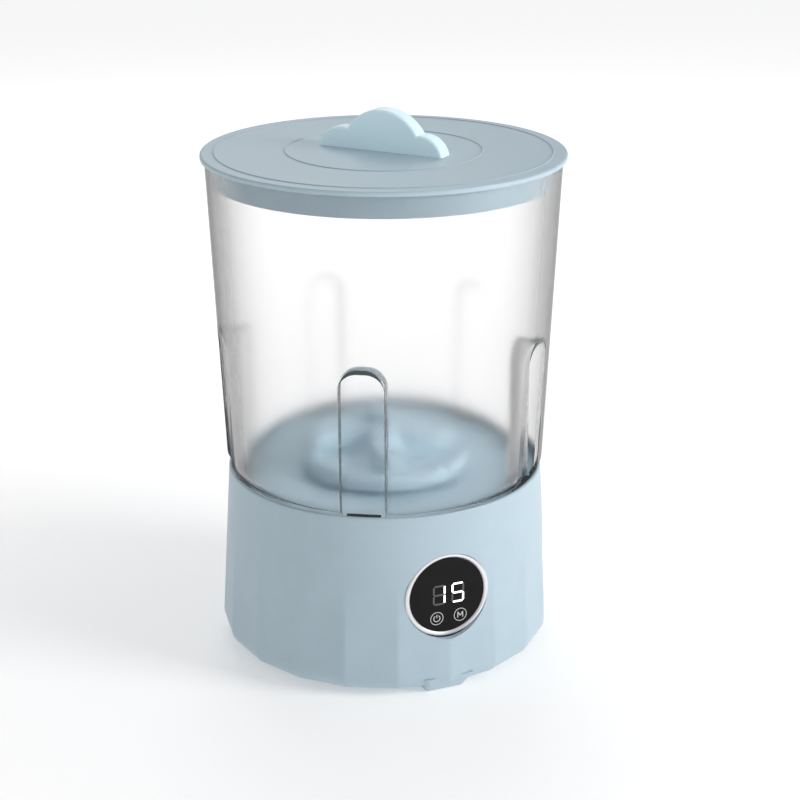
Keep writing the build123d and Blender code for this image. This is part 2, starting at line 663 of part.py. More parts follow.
def make_board_parts():
    """Capacitor, relay, regulator and two connectors, standing on the control board."""
    x, y, z = CONTROL_AT
    top = z + CONTROL_BOARD[2]
    with BuildPart() as parts:
        for dx, dy, radius, height in ROUND_PARTS:
            with Locations((x + dx, y + dy, top)):
                Cylinder(radius, height, align=BOTTOM)
        for dx, dy, size in BLOCK_PARTS:
            with Locations((x + dx, y + dy, top)):
                Box(*size, align=BOTTOM)
    write(parts, "board_parts")


def make_dc_jack():
    with BuildPart() as jack:
        with Locations(Location((0, INLET_BACK, INLET_Z), (-90, 0, 0))):
            Cylinder(INLET_R, INLET_FACE - INLET_BACK, align=BOTTOM)
        with Locations((0, INLET_BACK - 4, INLET_Z)):
            Box(*INLET_BLOCK)
        with Locations(Location((0, INLET_FACE - SOCKET_DEPTH, INLET_Z), (-90, 0, 0))):
            Cylinder(SOCKET_R, 2 * SOCKET_DEPTH, align=BOTTOM, mode=Mode.SUBTRACT)
            Cylinder(PIN_R, PIN_LENGTH, align=BOTTOM)
        face_rings = jack.edges().filter_by(GeomType.CIRCLE).group_by(Axis.Y)[-1]
        fillet(face_rings.sort_by(SortBy.RADIUS)[-1:], 0.6)
    write(jack, "dc_jack")


# ---------------------------------------------------------------- gears
def involute(angle):
    return tan(angle) - angle


def gear_outline(teeth, tooth_at):
    """Points of an involute gear, with the middle of one tooth at the angle tooth_at in degrees."""
    pitch_r = MODULE * teeth / 2
    base_r = pitch_r * cos(PRESSURE_ANGLE)
    tip_r = pitch_r + 0.95 * MODULE
    root_r = pitch_r - 1.25 * MODULE
    half_tooth = (pi * MODULE / 2 - BACKLASH) / (2 * pitch_r)
    flank = []
    steps = 4
    for step in range(steps + 1):
        radius = max(base_r, root_r) + (tip_r - max(base_r, root_r)) * step / steps
        half = half_tooth + involute(PRESSURE_ANGLE) - involute(acos(min(1.0, base_r / radius)))
        flank.append((radius, half))
    points = []
    for tooth in range(teeth):
        middle = radians(tooth_at) + 2 * pi * tooth / teeth
        sides = [(root_r, -flank[0][1])] + [(r, -half) for r, half in flank]
        sides += [(r, half) for r, half in reversed(flank)] + [(root_r, flank[0][1])]
        if root_r >= base_r:
            sides = sides[1:-1]
        points += [(r * cos(middle + turn), r * sin(middle + turn)) for r, turn in sides]
    return points


def add_gear(teeth, tooth_at, y, z, width):
    """Adds a toothed disc whose axis stands at y, in the plane of the gear train."""
    with BuildSketch(Plane(origin=(0, y, z))) as disc:
        with BuildLine():
            Polyline(*gear_outline(teeth, tooth_at), close=True)
        make_face()
    extrude(disc.sketch, amount=width)


def make_output_gear():
    with BuildPart() as gear:
        add_gear(WHEEL_TEETH, 90, 0, OUTPUT_Z, OUTPUT_WIDTH)
        with Locations((0, 0, OUTPUT_Z)):
            Cylinder(WHEEL_HUB_R, OUTPUT_WIDTH + 2.5, align=BOTTOM)
        with BuildSketch(Plane.XY.offset(OUTPUT_Z + OUTPUT_WIDTH)):
            Circle(WHEEL_DISH_R)
            Circle(WHEEL_HUB_R, mode=Mode.SUBTRACT)
        extrude(amount=-2, mode=Mode.SUBTRACT)
        drill(Location((0, 0, OUTPUT_Z - 1)), SHAFT_R + 0.02, 20)
    write(gear, "output_gear")


def make_idler_gear():
    half_pitch = 180 / PINION_TEETH
    with BuildPart() as gear:
        add_gear(WHEEL_TEETH, 90, IDLER_Y, WHEEL_Z, WHEEL_WIDTH)
        add_gear(PINION_TEETH, 90 + half_pitch, IDLER_Y, WHEEL_Z + WHEEL_WIDTH - 0.5, 11.5)
        with Locations((0, IDLER_Y, CASE_Z + CASE_FLOOR + 0.5)):
            Cylinder(5.5, WHEEL_Z - CASE_Z - CASE_FLOOR, align=BOTTOM)
        with BuildSketch(Plane(origin=(0, IDLER_Y, WHEEL_Z))):
            Circle(WHEEL_DISH_R)
            Circle(WHEEL_HUB_R, mode=Mode.SUBTRACT)
        extrude(amount=1.5, mode=Mode.SUBTRACT)
        drill(Location((0, IDLER_Y, CASE_Z)), IDLER_PIN_R + SHAFT_FIT, 40)
    write(gear, "idler_gear")


def make_motor_pinion():
    half_pitch = 180 / PINION_TEETH
    with BuildPart() as pinion:
        add_gear(PINION_TEETH, 90 + half_pitch, MOTOR_Y, MOTOR_PINION_Z, MOTOR_PINION_WIDTH)
        drill(Location((0, MOTOR_Y, MOTOR_PINION_Z - 1)), MOTOR_SHAFT_R + 0.02, 20)
    write(pinion, "motor_pinion")


# ---------------------------------------------------------------- gear case
def make_gear_plate():
    with BuildPart() as plate:
        with BuildSketch(Plane.XY.offset(PLATE_Z)):
            with Locations((0, PLATE_MID_Y)):
                RectangleRounded(*PLATE_SIZE, 14)
            Circle(6.0, mode=Mode.SUBTRACT)
        extrude(amount=PLATE_THICK)
        for place in plate_screw_places():
            drill(place, 1.7, PLATE_THICK)
        drill(Location((0, IDLER_Y, PLATE_Z)), IDLER_PIN_R + SCREW_FIT, PLATE_THICK)
        for x, y in CASE_EARS:
            drill(Location((x, y, PLATE_Z)), SMALL_SCREW_R + SCREW_FIT, PLATE_THICK)
    write(plate, "gear_plate")


def make_gear_case():
    width, length = CASE_SIZE
    with BuildPart() as case:
        with BuildSketch(Plane.XY.offset(CASE_Z)):
            with Locations((0, CASE_MID_Y)):
                RectangleRounded(width + 2 * CASE_WALL, length + 2 * CASE_WALL, CASE_CORNER + CASE_WALL)
        extrude(amount=CASE_TOP - CASE_Z)
        for x, y in CASE_EARS:
            with Locations((x, y, CASE_TOP)):
                Cylinder(EAR_R, EAR_HEIGHT, align=(Align.CENTER, Align.CENTER, Align.MAX))
        with BuildSketch(Plane.XY.offset(CASE_Z + CASE_FLOOR)):
            with Locations((0, CASE_MID_Y)):
                RectangleRounded(width, length, CASE_CORNER)
        extrude(amount=CASE_TOP, mode=Mode.SUBTRACT)
        with Locations((0, 0, CASE_Z)):
            Cylinder(BUSH_R + 2.5, BUSH_TOP - CASE_Z, align=BOTTOM)
        drill(Location((0, 0, CASE_Z)), BUSH_R + 0.02, 10)
        drill(Location((0, IDLER_Y, CASE_Z)), IDLER_PIN_R + SCREW_FIT, 10)
        drill(Location((0, MOTOR_Y, CASE_Z)), 4.2, 10)
        for x in (-MOTOR_SCREW_X, MOTOR_SCREW_X):
            drill(Location((x, MOTOR_Y, CASE_Z)), 1.5, 10)
        for x, y in CASE_EARS:
            drill(Location((x, y, CASE_TOP - EAR_HEIGHT)), 1.5, EAR_HEIGHT)
    write(case, "gear_case")


def make_shaft_bush():
    with BuildPart() as bush:
        with Locations((0, 0, CASE_Z)):
            Cylinder(BUSH_R, BUSH_TOP - CASE_Z, align=BOTTOM)
        drill(Location((0, 0, CASE_Z)), SHAFT_R + SHAFT_FIT, 10)
    write(bush, "shaft_bush")


def make_idler_pin():
    with BuildPart() as pin:
        with Locations((0, IDLER_Y, CASE_Z + 0.2)):
            Cylinder(IDLER_PIN_R, PLATE_Z + PLATE_THICK - CASE_Z - 0.4, align=BOTTOM)
        chamfer(pin.edges().filter_by(GeomType.CIRCLE), 0.4)
    write(pin, "idler_pin")


# ---------------------------------------------------------------- motor
def make_motor_can():
    with BuildPart() as can:
        with Locations((0, MOTOR_Y, MOTOR_LOW)):
            Cylinder(MOTOR_R, MOTOR_HIGH - MOTOR_LOW, align=BOTTOM)
        fillet(can.edges().group_by(Axis.Z)[-1], 1.5)
        with Locations((0, MOTOR_Y, MOTOR_LOW)):
            Cylinder(MOTOR_R - CAN_WALL, MOTOR_HIGH - MOTOR_LOW - 1.5, align=BOTTOM, mode=Mode.SUBTRACT)
        with Locations((0, MOTOR_Y, MOTOR_HIGH)):
            Cylinder(MOTOR_NECK_R, 2, align=BOTTOM)
        drill(Location((0, MOTOR_Y, MOTOR_LOW)), MOTOR_SHAFT_R + SHAFT_FIT, 60)
        for x in (-MOTOR_SCREW_X, MOTOR_SCREW_X):
            drill(Location((x, MOTOR_Y, MOTOR_LOW)), SMALL_SCREW_R + SCREW_FIT, 60)
    write(can, "motor_can")


def make_motor_magnets():
    with BuildPart() as magnets:
        with BuildSketch(Plane(origin=(0, MOTOR_Y, MAGNET_Z))):
            Circle(MOTOR_R - CAN_WALL - 0.1)
            Circle(MAGNET_IN_R, mode=Mode.SUBTRACT)
            Rectangle(3 * MOTOR_R, MAGNET_SPLIT, mode=Mode.SUBTRACT)
        extrude(amount=MAGNET_LENGTH)
    write(magnets, "motor_magnets")


def make_motor_end_cap():
    with BuildPart() as cap:
        with Locations((0, MOTOR_Y, MOTOR_LOW)):
            Cylinder(MOTOR_R - CAN_WALL - 0.1, 3, align=BOTTOM)
        with Locations((-9, MOTOR_Y, MOTOR_LOW), (9, MOTOR_Y, MOTOR_LOW)):
            Box(0.6, 3, 5, align=(Align.CENTER, Align.CENTER, Align.MAX))
        drill(Location((0, MOTOR_Y, MOTOR_LOW)), MOTOR_SHAFT_R + SHAFT_FIT, 10)
    write(cap, "motor_end_cap")


def make_motor_rotor():
    with BuildPart() as rotor:
        with Locations((0, MOTOR_Y, ROTOR_SHAFT_Z)):
            Cylinder(MOTOR_SHAFT_R, ROTOR_SHAFT_LENGTH, align=BOTTOM)
        with Locations((0, MOTOR_Y, ROTOR_Z)):
            Cylinder(ROTOR_R, ROTOR_LENGTH, align=BOTTOM)
            with PolarLocations(ROTOR_R, ROTOR_SLOTS):
                Box(8, 1.8, 80, mode=Mode.SUBTRACT)
        with Locations((0, MOTOR_Y, COMMUTATOR_Z)):
            Cylinder(COMMUTATOR_R, COMMUTATOR_LENGTH, align=BOTTOM)
    write(rotor, "motor_rotor")


# ---------------------------------------------------------------- impeller
def make_drive_shaft():
    with BuildPart() as shaft:
        with Locations((0, 0, SHAFT_LOW)):
            Cylinder(SHAFT_R, SHAFT_TOP - SHAFT_LOW, align=BOTTOM)
        chamfer(shaft.edges().filter_by(GeomType.CIRCLE), 0.5)
        with Locations((0, 0, CLIP_Z)):
            Cylinder(SHAFT_R + 1, CLIP_SLOT, align=BOTTOM, mode=Mode.SUBTRACT)
            Cylinder(CLIP_BED_R, CLIP_SLOT, align=BOTTOM)
        with Locations((SHAFT_FLAT, 0, IMPELLER_Z)):
            Box(5, 20, 30, align=(Align.MIN, Align.CENTER, Align.MIN), mode=Mode.SUBTRACT)
        drill(Location((0, 0, SHAFT_TOP - 10)), SCREW_R + SCREW_FIT, 10)
    write(shaft, "drive_shaft")


def make_shaft_clip():
    with BuildPart() as clip:
        with BuildSketch(Plane.XY.offset(CLIP_Z + 0.1)):
            Circle(CLIP_R)
            Circle(CLIP_BED_R + SCREW_FIT, mode=Mode.SUBTRACT)
            with Locations((0, -5)):
                Rectangle(3.6, 6, mode=Mode.SUBTRACT)
        extrude(amount=CLIP_SLOT - 0.2)
    write(clip, "shaft_clip")


def make_impeller():
    disc_top = IMPELLER_Z + IMPELLER_RIM
    with BuildPart() as impeller:
        with BuildSketch(Plane.XZ):
            with BuildLine():
                Line((0, IMPELLER_Z), (IMPELLER_R, IMPELLER_Z))
                Line((IMPELLER_R, IMPELLER_Z), (IMPELLER_R, disc_top - 5))
                ThreePointArc((IMPELLER_R, disc_top - 5), (IMPELLER_R - 1.5, disc_top - 1.5),
                              (IMPELLER_R - 5, disc_top))
                Line((IMPELLER_R - 5, disc_top), (IMPELLER_R - 16, disc_top - 3))
                Line((IMPELLER_R - 16, disc_top - 3), (HUB_R + 8, disc_top - 3))
                ThreePointArc((HUB_R + 8, disc_top - 3), (HUB_R + 1, disc_top + 3),
                              (HUB_R - 3, HUB_TOP - 2))
                ThreePointArc((HUB_R - 3, HUB_TOP - 2), (HUB_R / 2, HUB_TOP - 0.4), (0, HUB_TOP))
                Line((0, HUB_TOP), (0, IMPELLER_Z))
            make_face()
        revolve(axis=Axis.Z)
        with BuildSketch(Plane.XY.offset(disc_top - 4)):
            with PolarLocations(0, VANES, start_angle=45):
                make_vane_outline()
        extrude(amount=VANE_TOP - disc_top + 4, taper=VANE_TAPER)
        with BuildSketch(Plane.XZ):
            with BuildLine():
                Polyline(
                    (9, IMPELLER_Z - 1), (IMPELLER_R - IMPELLER_WALL, IMPELLER_Z - 1),
                    (IMPELLER_R - IMPELLER_WALL, disc_top - 7), (9, disc_top - 7), close=True,
                )
            make_face()
        revolve(axis=Axis.Z, mode=Mode.SUBTRACT)
        # D-shaped socket for the shaft, and the screw's well above it.
        with BuildSketch(Plane.XY.offset(IMPELLER_Z - 1)):
            Circle(SHAFT_R + 0.05)
            with Locations((SHAFT_FLAT + 0.05, 0)):
                Rectangle(5, 20, align=(Align.MIN, Align.CENTER), mode=Mode.SUBTRACT)
        extrude(amount=SHAFT_TOP + 0.2 - IMPELLER_Z + 1, mode=Mode.SUBTRACT)
        drill(Location((0, 0, SHAFT_TOP)), 1.7, 20)
        drill(Location((0, 0, SHAFT_TOP + 3.5)), 4.0, 20)
        # Small holes that let water through the disc.
        with BuildSketch(Plane.XY.offset(disc_top - 10)):
            for ring_radius, hole_radius in WATER_HOLES:
                with PolarLocations(ring_radius, VANES, start_angle=WATER_HOLE_TURN):
                    Circle(hole_radius)
        extrude(amount=12, mode=Mode.SUBTRACT)
    write(impeller, "impeller")


def make_vane_outline():
    """Plan of one swirl vane: a broad blade that bends back from the hub to the rim."""
    with BuildSketch(mode=Mode.PRIVATE) as blade:
        with BuildLine():
            inner = (10, -6)
            tip = (54 * cos(radians(24)), 54 * sin(radians(24)))
            outer = (52 * cos(radians(42)), 52 * sin(radians(42)))
            heel = (9, 8)
            ThreePointArc(inner, (34, 3), tip)
            ThreePointArc(tip, (53.6 * cos(radians(33)), 53.6 * sin(radians(33))), outer)
            ThreePointArc(outer, (27, 17), heel)
            Line(heel, inner)
        make_face()
    add(blade.sketch)


# ---------------------------------------------------------------- all pieces
make_lid_panel()
make_cloud_handle()
make_screws("handle_screws", handle_screw_places(), SCREW_R, 10.5)
make_tub()
make_screws("tub_screws", tub_screw_places(), SCREW_R, 6.2, head_r=2.2)
make_tub_floor()
make_screws("floor_screws", floor_screw_places(), WIDE_SCREW_R, 8.0)
make_floor_seal()
make_lip_seal()
make_shaft_bearing()
make_base_housing()
make_foot_pads()
make_bottom_cover()
make_screws("cover_screws", cover_screw_places(), SCREW_R, 14, head_r=2.7, head_height=1.8)
make_display_bezel()
make_display_lens()
make_digit_module()
make_touch_springs()
make_display_board()
make_display_holder()
make_screws("display_screws", display_screw_places(), SMALL_SCREW_R, 8.5, head_r=2.5)
make_control_board()
make_board_parts()
make_screws("board_screws", control_screw_places(), SMALL_SCREW_R, 8.0, head_r=2.5, head_height=1.8)
make_dc_jack()
make_output_gear()
make_idler_gear()
make_motor_pinion()
make_gear_plate()
make_screws("plate_screws", plate_screw_places(), SCREW_R, 13.5)
make_gear_case()
make_screws("case_screws", case_screw_places(), SMALL_SCREW_R, 8.6, head_r=2.5)
make_shaft_bush()
make_idler_pin()
make_motor_can()
make_motor_magnets()
make_motor_end_cap()
make_screws("motor_screws", motor_screw_places(), SMALL_SCREW_R, 6.0, head_r=2.4, head_height=2.0)
make_motor_rotor()
make_drive_shaft()
make_shaft_clip()
make_impeller()
make_screws("impeller_screw", impeller_screw_place(), SCREW_R, 12, head_r=3.4, head_height=2.6)
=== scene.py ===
"""Looks of the portable mini washer: moulded plastics, frosted tub, lit display, floor, lights and camera."""

import json
from math import cos, pi, radians, sin

import bmesh
import bpy
from mathutils import Euler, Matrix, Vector


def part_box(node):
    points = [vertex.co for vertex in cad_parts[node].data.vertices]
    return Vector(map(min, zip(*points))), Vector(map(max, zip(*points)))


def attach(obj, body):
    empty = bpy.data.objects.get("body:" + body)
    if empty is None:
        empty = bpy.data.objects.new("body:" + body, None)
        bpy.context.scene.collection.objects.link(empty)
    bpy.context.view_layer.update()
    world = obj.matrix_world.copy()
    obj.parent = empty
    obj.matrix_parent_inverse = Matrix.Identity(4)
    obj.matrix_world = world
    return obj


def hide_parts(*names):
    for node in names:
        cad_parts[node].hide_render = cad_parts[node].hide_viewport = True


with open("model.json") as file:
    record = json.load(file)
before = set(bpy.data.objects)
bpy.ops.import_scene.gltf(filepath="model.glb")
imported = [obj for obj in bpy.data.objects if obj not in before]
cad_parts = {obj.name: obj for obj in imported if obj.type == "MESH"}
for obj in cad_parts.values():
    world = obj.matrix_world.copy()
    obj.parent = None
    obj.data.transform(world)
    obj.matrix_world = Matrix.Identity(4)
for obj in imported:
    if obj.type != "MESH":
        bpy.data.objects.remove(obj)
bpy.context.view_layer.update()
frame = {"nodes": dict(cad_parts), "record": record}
nodes = frame["nodes"]

MM = 0.001

# ---------------------------------------------------------------- named sizes, in metres
DISPLAY_MIDDLE = sum((Vector(corner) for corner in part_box("display_lens")), Vector()) / 2
LENS_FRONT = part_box("display_lens")[0][1]      # the lens faces -Y
PRINT_LIFT, PRINT_THICKNESS = 0.05 * MM, 0.12 * MM

DIGIT_HEIGHT, DIGIT_WIDTH, SEGMENT, SEGMENT_GAP = 14.0 * MM, 8.9 * MM, 1.2 * MM, 0.25 * MM
DIGIT_PITCH, DIGIT_MID = 13.3 * MM, (0.9 * MM, 0.7 * MM)
LIT = {-1: "bc", 1: "afgcd"}                   # left digit 1, right digit 5
KEY_X, KEY_SHIFT, KEY_DROP, KEY_R, KEY_LINE = 8.4 * MM, 1.1 * MM, 15.8 * MM, 4.4 * MM, 0.4 * MM

# Tub wall, as the frame has it. Flutes are numbered from the one left of the display.
TUB_TOP_R, TUB_LOW_R, TUB_LOW_Z = 117.4 * MM, 108.3 * MM, 136 * MM
TUB_TOP_Z, TUB_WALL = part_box("tub")[1][2], 2.5 * MM
NECK_R, SEAM_Z = 104.7 * MM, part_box("base_housing")[1][2]
FLUTES, FLUTE_PHASE, FLUTE_WIDTH, FLUTE_FLOOR_R = 5, -29.8, 29 * MM, 100 * MM
FLUTE_LOW_Z, FLUTE_TOP_Z, FLUTE_CORNER = 118 * MM, 225.6 * MM, 12 * MM
FLUTE_SKIN = 0.8 * MM                          # how thick the wall of a flute looks

# Painted shade: dark crescents put on the tub above the flutes that face the camera's side, for the shade
# under each flute's rounded ceiling.
CRESCENT_HEIGHT, CRESCENT_EDGE, CRESCENT_SINK, CRESCENT_PROUD = 2.9 * MM, 0.1 * MM, 0.3 * MM, 0.05 * MM
CRESCENT_START, CRESCENT_SWEEP, CRESCENT_STEPS, CRESCENT_FLUTES = radians(20), radians(70), 16, (0, 1, 4)

# Painted shade: dark strips in the gap between a flute's foot and the rim.
SLOT_WIDTH, SLOT_NEAR_R, SLOT_FAR_R = 22 * MM, FLUTE_FLOOR_R + 0.3 * MM, FLUTE_FLOOR_R + 4 * MM
SLOT_LOW_Z, SLOT_HIGH_Z = SEAM_Z - 1.3 * MM, SEAM_Z - 0.3 * MM

# Base housing: a cone whose twenty flats fade out upwards.
FACETS = 20
BASE_LOW_Z, BASE_WALL = 3.5 * MM, 2.6 * MM
RIM_R, SKIRT_R, SKIRT_Z = 107.2 * MM, 114.0 * MM, 17.5 * MM
FADE_HIGH_Z, FADE_LOW_Z = 92 * MM, 42 * MM
EDGE_R, RIM_EDGE_R = 14 * MM, 1.2 * MM
COVER_HOLE_R, NECK_HOLE_R = 92.3 * MM, 105.0 * MM
LEDGE_R, LEDGE_LOW_Z, LEDGE_HIGH_Z = 97.0 * MM, 108.3 * MM, 111.8 * MM
RIM_INNER_Z, WAIST_Z = SEAM_Z - 0.3 * MM, 85 * MM
# Lower inner side of the housing: rows of (radius, height).
SKIRT_INSIDE = ((107.8 * MM, 50 * MM), (109.4 * MM, 16 * MM), (104 * MM, 6.5 * MM), (COVER_HOLE_R, 6.5 * MM))
DISPLAY_HOLE_R, INLET_HOLE_R, INLET_Z = 29.65 * MM, 5.85 * MM, 27 * MM
CUT_FROM_Y, CUT_TO_Y, HOLE_SEGMENTS = 0.09, 0.13, 96   # the holes are cut between these distances
EDGE_STEPS, WALL_STEPS, RIM_STEPS = 8, 48, 5
COLUMN_OFFSETS = (0.0, 0.05, 0.12, 0.25, 0.4, 0.5, 0.6, 0.75, 0.88, 0.95)

# Feet, in millimetres: rows of (height, width, distance of the face from the axis).
FOOT_AZIMUTHS = (0, 120, 240)
FOOT_LEVELS = ((0.5, 26.4, 104.7), (0.8, 27.6, 105.3), (1.6, 28.2, 105.9),
               (6.0, 30.8, 109.0), (10.0, 33.6, 111.2), (12.5, 37.0, 112.2))
FOOT_CORNER, FOOT_CORNER_STEPS, FOOT_BACK = 3.0, 5, 93.0
SKIN_CREASE, FOOT_CREASE = 40, 50              # edges steeper than this stay sharp, in degrees

# Finishes: how a noise spreads, and from which to which slant the tub's wall turns less clear and shows its
# painted shade.
NOISE_RANGE, CLEAR_RANGE = (0.3, 0.7), (0.72, 0.95)

# Floor, lights and camera.
FLOOR_R, FLOOR_SEGMENTS, FLOOR_TINT = 12, 96, (1.0, 0.995, 0.99, 1)
FLOOR_GLOW, GLOW_REACH = (0.3, 0.52), (0.15, 1.1)   # near the part and far from it
SKY_COLOR, SKY_STRENGTH = (0.95, 0.97, 1.0, 1), 0.48
LIGHT_AIM = (0, 0, 0.17)
CAMERA_TURN = radians(22.2)                    # the camera stands this far to the display's left
CAMERA_AIM_RIGHT = 0.0088
CAMERA_ELEVATION = radians(19.68)
CAMERA_OUT, CAMERA_HEIGHT = 1.2001, 0.5987
LENS_MM, SENSOR_MM, CLIP_END = 83.75, 36, 50


# ---------------------------------------------------------------- materials
def new_material(name):
    """A new material, its node tree and its Principled shader."""
    material = bpy.data.materials.new(name)
    material.use_nodes = True
    tree = material.node_tree
    shader = tree.nodes["Principled BSDF"]
    return material, tree, shader


def add_noise(tree, scale, detail):
    """Noise over the object's own coordinates; scale is in repeats per metre."""
    place = tree.nodes.new("ShaderNodeTexCoord")
    noise = tree.nodes.new("ShaderNodeTexNoise")
    noise.inputs["Scale"].default_value = scale
    noise.inputs["Detail"].default_value = detail
    tree.links.new(place.outputs["Object"], noise.inputs["Vector"])
    return noise


def remap(tree, source, target, given, wanted):
    """Feeds an input from an output, moved from one range of values to another."""
    spread = tree.nodes.new("ShaderNodeMapRange")
    for socket, value in zip(("From Min", "From Max", "To Min", "To Max"), given + wanted):
        spread.inputs[socket].default_value = value
    tree.links.new(source, spread.inputs["Value"])
    tree.links.new(spread.outputs["Result"], target)


def vary(tree, source, target, low, high):
    """Feeds a shader's number from a noise, spread between low and high."""
    remap(tree, source.outputs["Fac"], target, NOISE_RANGE, (low, high))


def tint(tree, source, target, dark, light):
    """Feeds a colour from a noise, between two close shades."""
    ramp = tree.nodes.new("ShaderNodeValToRGB")
    for stop, position, tone in zip(ramp.color_ramp.elements, NOISE_RANGE, (dark, light)):
        stop.position = position
        stop.color = (*tone, 1)
    tree.links.new(source.outputs["Fac"], ramp.inputs["Fac"])
    tree.links.new(ramp.outputs["Color"], target)


def roughen(tree, source, shader, strength, distance):
    """Fine relief from a noise."""
    bump = tree.nodes.new("ShaderNodeBump")
    bump.inputs["Strength"].default_value = strength
    bump.inputs["Distance"].default_value = distance
    tree.links.new(source.outputs["Fac"], bump.inputs["Height"])
    tree.links.new(bump.outputs["Normal"], shader.inputs["Normal"])


def surface(name, color, spread, rough, grain, relief, metal=0.0, shine=0.5, glow=0.0):
    """A moulded or metal finish: colour mottled by a share (spread), gloss uneven within a range (rough),
    and fine grain, in repeats per metre, of a given relief. Glow, where given, is a painted glow in the same
    mottled colour."""
    material, tree, shader = new_material(name)
    cloud = add_noise(tree, 60, 4)
    fine = add_noise(tree, grain, 2)
    dark = [max(0.0, c * (1 - spread)) for c in color]
    light = [min(1.0, c * (1 + spread)) for c in color]
    tint(tree, cloud, shader.inputs["Base Color"], dark, light)
    vary(tree, cloud, shader.inputs["Roughness"], *rough)
    roughen(tree, fine, shader, relief, 0.02 * MM)
    shader.inputs["Metallic"].default_value = metal
    shader.inputs["Specular IOR Level"].default_value = shine
    if glow:
        tint(tree, cloud, shader.inputs["Emission Color"], dark, light)
        shader.inputs["Emission Strength"].default_value = glow
    return material


def wall_finish_painted_edge_shade(name, rough, relief, greys, edge, bend):
    """One side of the translucent tub wall, clear or etched, darkened towards its silhouettes by painted
    shade, in part standing in for the longer path through the plastic: greys are (slant, shade), darker when
    slanted, edge is how much light still gets through at the silhouette, and bend is the index of refraction."""
    material, tree, shader = new_material(name)
    cloud = add_noise(tree, 45, 2)
    fine = add_noise(tree, 2400, 2)
    facing = tree.nodes.new("ShaderNodeLayerWeight")
    facing.inputs["Blend"].default_value = 0.5
    ramp = tree.nodes.new("ShaderNodeValToRGB")
    stops = ramp.color_ramp.elements
    while len(stops) < len(greys):
        stops.new(0.5)
    for stop, (position, grey) in zip(stops, greys):
        stop.position = position
        stop.color = (grey, grey, grey, 1)
    tree.links.new(facing.outputs["Facing"], ramp.inputs["Fac"])
    tree.links.new(ramp.outputs["Color"], shader.inputs["Base Color"])
    vary(tree, cloud, shader.inputs["Roughness"], *rough)
    roughen(tree, fine, shader, relief, 0.01 * MM)
    remap(tree, facing.outputs["Facing"], shader.inputs["Transmission Weight"], CLEAR_RANGE, (1.0, edge))
    shader.inputs["IOR"].default_value = bend
    return material


def glowing(name, color, strength):
    """Light of a display segment, a little uneven along its length; the unlit segments and the key print get
    it as a painted glow.
    """
    material, tree, shader = new_material(name)
    cloud = add_noise(tree, 700, 2)
    tint(tree, cloud, shader.inputs["Base Color"], [c * 0.92 for c in color], color)
    tint(tree, cloud, shader.inputs["Emission Color"], [c * 0.94 for c in color], color)
    shader.inputs["Emission Strength"].default_value = strength
    shader.inputs["Roughness"].default_value = 0.4
    return material


# Painted light: the grip, the tub's floor and the impeller get lighter copies of the lid's and base's blue,
# with a faint painted glow, so they look paler than the lid and the base.
BLUE = (0.425, 0.54, 0.605)
GRIP_BLUE_PAINTED_LIGHT = (0.74, 0.93, 0.99)
INNER_BLUE_PAINTED_LIGHT = (0.58, 0.73, 0.81)
BLUE_PLASTIC = {"spread": 0.02, "rough": (0.36, 0.44), "grain": 2600, "relief": 0.06}
PAINTED_LIGHT_FINISHES = {"cloud_handle": "grip_plastic_painted_light", "tub_floor": "inner_plastic_painted_light", "impeller": "inner_plastic_painted_light"}
# After the name and the colour: spread, roughness range, grain and relief.
materials = {
    "blue_plastic": surface("blue_plastic", BLUE, **BLUE_PLASTIC),
    # Painted light: lighter blue copies with a painted glow, for the grip and for the tub's floor and
    # impeller.
    "grip_plastic_painted_light": surface("grip_plastic_painted_light", GRIP_BLUE_PAINTED_LIGHT, glow=0.09, **BLUE_PLASTIC),
    "inner_plastic_painted_light": surface("inner_plastic_painted_light", INNER_BLUE_PAINTED_LIGHT, glow=0.02, **BLUE_PLASTIC),
    # Tub wall outside: painted shade darkens it where it is slanted towards the silhouettes.
    "frosted_plastic": wall_finish_painted_edge_shade(
        "frosted_plastic", rough=(0.04, 0.06), relief=0.01,
        greys=((0.25, 0.92), (0.5, 0.8), (0.75, 0.34), (0.96, 0.03)), edge=0.1, bend=1.04),
    "silver_trim": surface("silver_trim", (0.84, 0.83, 0.84), 0.03, (0.4, 0.5), 4000, 0.05, metal=1.0),
    "black_glass": surface("black_glass", (0.009, 0.008, 0.008), 0.1, (0.12, 0.18), 900, 0.0, shine=0.12),
    "black_plastic": surface("black_plastic", (0.03, 0.03, 0.032), 0.15, (0.45, 0.6), 2200, 0.2),
    "white_plastic": surface("white_plastic", (0.8, 0.79, 0.74), 0.04, (0.35, 0.5), 2200, 0.1),
    "rubber": surface("rubber", (0.035, 0.035, 0.037), 0.2, (0.7, 0.85), 1800, 0.4),
    "steel": surface("steel", (0.56, 0.56, 0.57), 0.08, (0.25, 0.42), 3500, 0.15, metal=1.0),
    "bronze": surface("bronze", (0.5, 0.31, 0.14), 0.15, (0.35, 0.5), 3500, 0.2, metal=1.0),
    "circuit_board": surface("circuit_board", (0.015, 0.13, 0.05), 0.15, (0.3, 0.4), 1500, 0.1),
}
for entry in frame["record"]["subparts"]:
    node_mesh = nodes[entry["node"]].data
    node_mesh.materials.clear()
    finish = PAINTED_LIGHT_FINISHES.get(entry["node"], entry["material_slot"])
    node_mesh.materials.append(materials[finish])


# ---------------------------------------------------------------- display print
def display_point(across, up):
    """Point on the lens, from its middle."""
    return Vector((DISPLAY_MIDDLE.x + across, LENS_FRONT - PRINT_LIFT, DISPLAY_MIDDLE.z + up))


